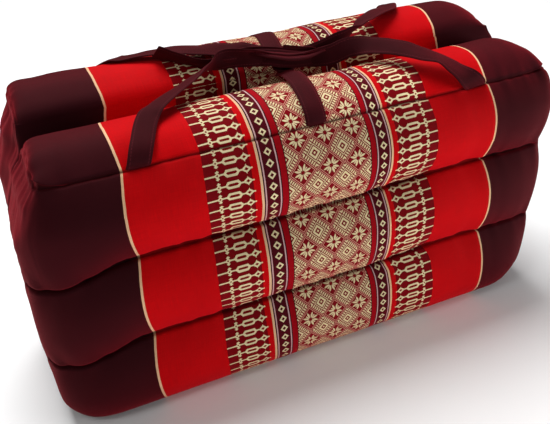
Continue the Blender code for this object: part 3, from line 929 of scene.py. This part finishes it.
# each row is a point of the middle line, the way that the width points and,
# where the strap is bunched, the turn in radians that its width curls through
strapRoutes = {
    "handle_front": (
        ((-0.1690, -0.0900, 0.2500), flat),
        ((-0.1660, -0.0950, 0.2590), flat),
        ((-0.1600, -0.0880, 0.2705), flat),
        ((-0.1473, -0.0642, 0.2830), (0.95, -0.10, 0.05)),
        ((-0.1320, -0.0500, 0.2885), (0.80, -0.40, 0.15)),
        ((-0.1005, -0.0235, 0.2915), (0.60, -0.67, 0.28)),
        ((-0.0735, -0.0020, 0.2950), (0.55, -0.55, 0.60)),
        ((-0.0520, 0.0020, 0.2985), (0.15, -0.15, 1.0)),
        ((-0.0300, -0.0070, 0.2985), (0.0, -0.20, 1.0), 1.4),
        ((-0.0100, -0.0110, 0.2955), (0.0, -0.40, 0.92), 2.8),
        ((0.0040, -0.0115, 0.2925), (0.0, -0.45, 0.90), 3.2),
        ((0.0200, -0.0115, 0.2892), (0.0, -0.35, 0.93), 2.6),
        ((0.0490, -0.0145, 0.2870), (0.05, 0.20, 1.0), 0.6),
        ((0.0712, -0.0195, 0.2925), (0.30, 0.30, 0.80)),
        ((0.0892, -0.0362, 0.2945), (0.60, 0.50, 0.50)),
        ((0.1049, -0.0564, 0.2940), (0.66, 0.56, 0.43)),
        ((0.1174, -0.0717, 0.2905), (0.66, 0.62, 0.25)),
        ((0.1327, -0.0826, 0.2850), (0.74, 0.55, 0.0)),
        ((0.1420, -0.0925, 0.2770), (0.88, 0.30, 0.0)),
        ((0.1532, -0.1000, 0.2665), flat),
        ((0.1640, -0.0975, 0.2570), flat),
        ((0.1660, -0.0900, 0.2500), flat),
    ),
    "handle_back": (
        ((-0.1575, 0.0900, 0.2700), flat),
        ((-0.1570, 0.0950, 0.2770), flat),
        ((-0.1540, 0.0870, 0.2890), flat),
        ((-0.1470, 0.0660, 0.2998), (0.90, 0.30, 0.0)),
        ((-0.1370, 0.0590, 0.3012), (0.50, 0.80, -0.05)),
        ((-0.1270, 0.0540, 0.3028), (0.36, 0.92, -0.11)),
        ((-0.1133, 0.0490, 0.3044), (0.36, 0.92, -0.05)),
        ((-0.0912, 0.0385, 0.3057), (0.36, 0.92, 0.10)),
        ((-0.0688, 0.0310, 0.3035), (0.30, 0.92, 0.18)),
        ((-0.0435, 0.0265, 0.2997), (0.25, 0.85, 0.40)),
        ((-0.0260, 0.0100, 0.2975), (0.10, 0.40, 0.90), -1.2),
        ((-0.0100, -0.0020, 0.2935), edge, -2.6),
        ((0.0040, -0.0035, 0.2910), edge, -3.0),
        ((0.0200, -0.0038, 0.2880), edge, -2.4),
        ((0.0400, -0.0030, 0.2885), edge, -0.8),
        ((0.0600, -0.0035, 0.2930), (0.10, 0.10, 0.95)),
        ((0.0770, -0.0010, 0.2985), (0.25, -0.30, 0.85)),
        ((0.0940, 0.0070, 0.3035), (0.55, -0.65, 0.40)),
        ((0.1100, 0.0180, 0.3065), (0.58, -0.76, 0.10)),
        ((0.1313, 0.0320, 0.3070), (0.70, -0.60, 0.0)),
        ((0.1494, 0.0440, 0.3050), (0.90, -0.40, 0.0)),
        ((0.1620, 0.0660, 0.3020), flat),
        ((0.1670, 0.0870, 0.2900), flat),
        ((0.1690, 0.0950, 0.2770), flat),
        ((0.1695, 0.0900, 0.2700), flat),
    ),
    "tie_front": (
        ((-0.0045, -0.0900, 0.2500), flat),
        ((-0.0045, -0.0950, 0.2585), flat),
        ((-0.0040, -0.0860, 0.2710), flat),
        ((-0.0020, -0.0620, 0.2815), flat),
        ((0.0010, -0.0340, 0.2825), flat),
        ((0.0020, -0.0210, 0.2805), flat, 0.6),
        ((0.0025, -0.0090, 0.2775), flat, 1.2),
    ),
    "tie_back": (
        ((0.0020, 0.0900, 0.2700), flat),
        ((0.0020, 0.0950, 0.2770), flat),
        ((0.0070, 0.0860, 0.2880), flat),
        ((0.0100, 0.0620, 0.2981), flat),
        ((0.0070, 0.0400, 0.2988), flat),
        ((0.0040, 0.0200, 0.2950), flat),
        ((0.0060, 0.0085, 0.2900), flat, 0.8),
        ((0.0040, 0.0010, 0.2830), flat, 1.4),
    ),
    "tie_end_left": (
        ((-0.0140, -0.0074, 0.2920), (0.0, -0.30, 0.95), 2.0),
        ((-0.0300, -0.0005, 0.2925), (0.0, -0.60, 0.80), 1.8),
        ((-0.0530, 0.0065, 0.2935), (0.0, -0.78, 0.62), 1.2),
        ((-0.0740, 0.0125, 0.2958), (0.0, -0.86, 0.50), 0.8),
        ((-0.0942, 0.0235, 0.3022), (0.10, -0.78, 0.62), 0.5),
        ((-0.1115, 0.0340, 0.3085), (0.20, -0.68, 0.70)),
    ),
    "tie_end_right": (
        ((0.0030, -0.0040, 0.2965), (0.0, -0.35, 0.94), 1.2),
        ((0.0200, -0.0045, 0.2915), (0.0, -0.35, 0.94), 0.8),
        ((0.0390, -0.0050, 0.2860), (0.0, -0.35, 0.94), 0.4),
    ),
}


def catmull(p0, p1, p2, p3, t):
    return 0.5 * (2 * p1 + (p2 - p0) * t + (2 * p0 - 5 * p1 + 4 * p2 - p3) * t * t
                  + (3 * p1 - p0 - 3 * p2 + p3) * t * t * t)


def smoothRoute(values, step):
    # the smooth line through the points, in even steps; the second result is
    # where each step lies in the list of points
    points = [Vector(value) for value in values]
    ends = [points[0] * 2 - points[1]] + points + [points[-1] * 2 - points[-2]]
    fine = strapSet["fineSteps"]
    dense = []
    for index in range(1, len(ends) - 2):
        for part in range(fine):
            dense.append(catmull(*ends[index - 1:index + 3], part / fine))
    dense.append(points[-1])
    arc = arcFrom(np.array(dense))
    wanted = np.linspace(0, arc[-1], max(3, round(arc[-1] / step) + 1))
    order = np.interp(wanted, arc, np.arange(len(dense)) / fine)
    line = np.stack([np.interp(wanted, arc, [p[k] for p in dense]) for k in range(3)], 1)
    return line, order, wanted


def ribbonPath(rows):
    # middle line, way along it, the ways that the width and the face point, and the curl
    line, order, arc = smoothRoute([row[0] for row in rows], strapSet["step"])
    ways = np.array([row[1] for row in rows], float)
    curls = np.array([row[2] if len(row) > 2 else 0.0 for row in rows])
    eased = np.clip(order, 0, len(rows) - 1)
    low = np.minimum(eased.astype(int), len(rows) - 2)
    part = smoothStep(eased - low)[:, None]
    way = ways[low] * (1 - part) + ways[low + 1] * part
    curl = np.interp(order, np.arange(len(rows)), curls)
    least = strapSet["leastCurl"]
    curl = np.where(np.abs(curl) < least, least, curl)
    tangent = np.gradient(line, axis=0)
    tangent /= np.linalg.norm(tangent, axis=1, keepdims=True)
    way -= tangent * (way * tangent).sum(1, keepdims=True)
    way /= np.linalg.norm(way, axis=1, keepdims=True)
    return line, arc, tangent, way, np.cross(way, tangent), curl


def sheetFaces(rows, columns, ahead, twin):
    # quads of a closed sheet: the same point of the next row lies ahead in the list,
    # and the one on the sheet's other face lies twin further
    faces = []
    for top in range(0, rows * ahead, ahead):
        under = top + twin
        for k in range(columns):
            faces.append((top + k, top + k + 1, top + k + 1 + ahead, top + k + ahead))
            faces.append((under + k + 1, under + k, under + k + ahead, under + k + 1 + ahead))
        faces.append((under, top, top + ahead, under + ahead))
        topSide = top + columns
        underSide = under + columns
        faces.append((topSide, underSide, underSide + ahead, topSide + ahead))
    last = rows * ahead
    for k in range(columns):
        faces.append((k + 1, k, twin + k, twin + k + 1))
        faces.append((last + k, last + k + 1, last + twin + k + 1, last + twin + k))
    return faces


def ribbonMesh(rows, seed, cut=0.0):
    # points, faces, places and length of one strap, whose far end may be cut aslant
    s = strapSet
    line, arc, tangent, way, face, curl = ribbonPath(rows)
    places = -np.cos(np.pi * np.arange(s["sides"] + 1) / s["sides"])
    rounding = np.clip(1 - np.abs(places) ** 6, s["edgeThickness"], None) ** 0.5
    rowDip = s["edgeDip"] * hump(np.abs(places) - s["stitchRow"], s["stitchWidth"])
    half = s["thickness"] / 2 * rounding - rowDip
    points = []
    marks = []
    for n, (centre, across, normal) in enumerate(zip(line, way, face)):
        wave = waviness(arc[n] / s["flutterPitch"], places * 0.9 + seed)
        # the width lies on an arc that turns through the curl
        turn = places * curl[n] / 2
        radius = s["width"] / curl[n]
        crown = radius * (np.cos(turn) - np.cos(curl[n] / s["curlLevel"]))
        middle = centre + np.outer(radius * np.sin(turn), across)
        middle = middle + np.outer(crown + wave * s["flutter"], normal)
        nearEnd = smoothStep(1 - (arc[-1] - arc[n]) / s["cutReach"])
        middle = middle + np.outer(places * cut * nearEnd, tangent[n])
        facing = np.outer(np.cos(turn), normal) + np.outer(np.sin(turn), across)
        shell = facing * half[:, None]
        points += [middle + shell, middle - shell]
        mark = np.stack((places * s["width"] / 2, np.full(len(places), arc[n]), wave), 1)
        marks += [mark, mark]
    points = np.concatenate(points)
    points[:, 0] += middleX
    width = s["sides"] + 1
    faces = sheetFaces(len(line) - 1, s["sides"], 2 * width, width)
    return points, faces, np.concatenate(marks), float(arc[-1])


clothOfStraps = strapCloth(strapSet["width"])
strapNames = {
    "handle_front": "front_handle_strap", "handle_back": "back_handle_strap",
    "tie_front": "front_tie_strap", "tie_back": "back_tie_strap",
    "tie_end_left": "left_tie_end", "tie_end_right": "right_tie_end",
}
for number, (node, rows) in enumerate(strapRoutes.items()):
    cut = strapSet["cuts"].get(node, 0.0)
    points, faces, marks, length = ribbonMesh(rows, 3.1 + number, cut)
    strap = makePiece(strapNames[node], points, faces, clothOfStraps, marks)
    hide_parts(node)
print("straps are laid")


# The knot: the ties wound loosely round the bunched handles

knotRoutes = (
    # over the front of the bundle, sagging
    (((-0.0320, 0.0000, 0.2985), (0.0, -0.40, 0.92), 2.8),
     ((-0.0140, -0.0130, 0.2955), (0.0, -0.50, 0.86), 3.6),
     ((0.0050, -0.0160, 0.2905), (0.0, -0.55, 0.84), 4.0),
     ((0.0230, -0.0155, 0.2880), (0.0, -0.50, 0.86), 3.6),
     ((0.0440, -0.0100, 0.2875), (0.0, -0.40, 0.92), 2.8)),
    # a rolled strand over the top, towards the left free end
    (((-0.0560, 0.0080, 0.2975), (0.0, 1.0, 0.30), 4.6),
     ((-0.0300, 0.0000, 0.3015), (0.0, 1.0, 0.30), 5.2),
     ((-0.0060, -0.0080, 0.2995), (0.0, 1.0, 0.25), 5.2),
     ((0.0160, -0.0095, 0.2935), (0.0, 1.0, 0.20), 5.2),
     ((0.0400, -0.0070, 0.2895), (0.0, 1.0, 0.20), 4.6)),
    # the turn under the handles that joins the two ties
    (((0.0020, 0.0040, 0.2880), flat, 1.6),
     ((0.0024, -0.0015, 0.2805), flat, 1.8),
     ((0.0028, -0.0100, 0.2785), flat, 1.8),
     ((0.0026, -0.0170, 0.2815), flat, 1.2)),
)


def buildKnot():
    points = []
    faces = []
    marks = []
    start = 0
    for number, rows in enumerate(knotRoutes):
        bandPoints, bandFaces, bandMarks, _ = ribbonMesh(rows, 5.0 + number)
        points.append(bandPoints)
        marks.append(bandMarks)
        faces += [tuple(start + k for k in f) for f in bandFaces]
        start += len(bandPoints)
    return makePiece("tie_wraps", np.concatenate(points), faces, clothOfStraps,
                     np.concatenate(marks))


knot = buildKnot()
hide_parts("tie_knot")
print("knot is tied")


# The fold strip at the bottom of the valley

foldSet = {
    "length": 0.440, "thickness": 0.0020, "height": 0.0150, "sag": 0.0060,
    "halfWidth": 0.0108, "longSteps": 120, "acrossSteps": 10,
    "wave": 0.0006, "wavePitch": 0.02,
}


def buildFold():
    s = foldSet
    along = np.linspace(-0.5, 0.5, s["longSteps"] + 1) * s["length"]
    across = np.linspace(-1, 1, s["acrossSteps"] + 1)
    x, a = np.meshgrid(along, across, indexing="ij")
    z = s["height"] - s["sag"] * (1 - a * a) + s["wave"] * waviness(x / s["wavePitch"], a)
    y = a * s["halfWidth"]
    upper = np.stack((x + middleX, y, z + s["thickness"]), 2).reshape(-1, 3)
    lower = np.stack((x + middleX, y, z), 2).reshape(-1, 3)
    faces = sheetFaces(s["longSteps"], s["acrossSteps"], s["acrossSteps"] + 1, len(upper))
    place = np.stack((x, y, np.zeros_like(x)), 2).reshape(-1, 3)
    return makePiece("fold_cloth_strip", np.concatenate((lower, upper)), faces,
                     plainCloth(), np.concatenate((place, place)))


fold = buildFold()
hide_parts("fold_strip")
print("fold strip is in")
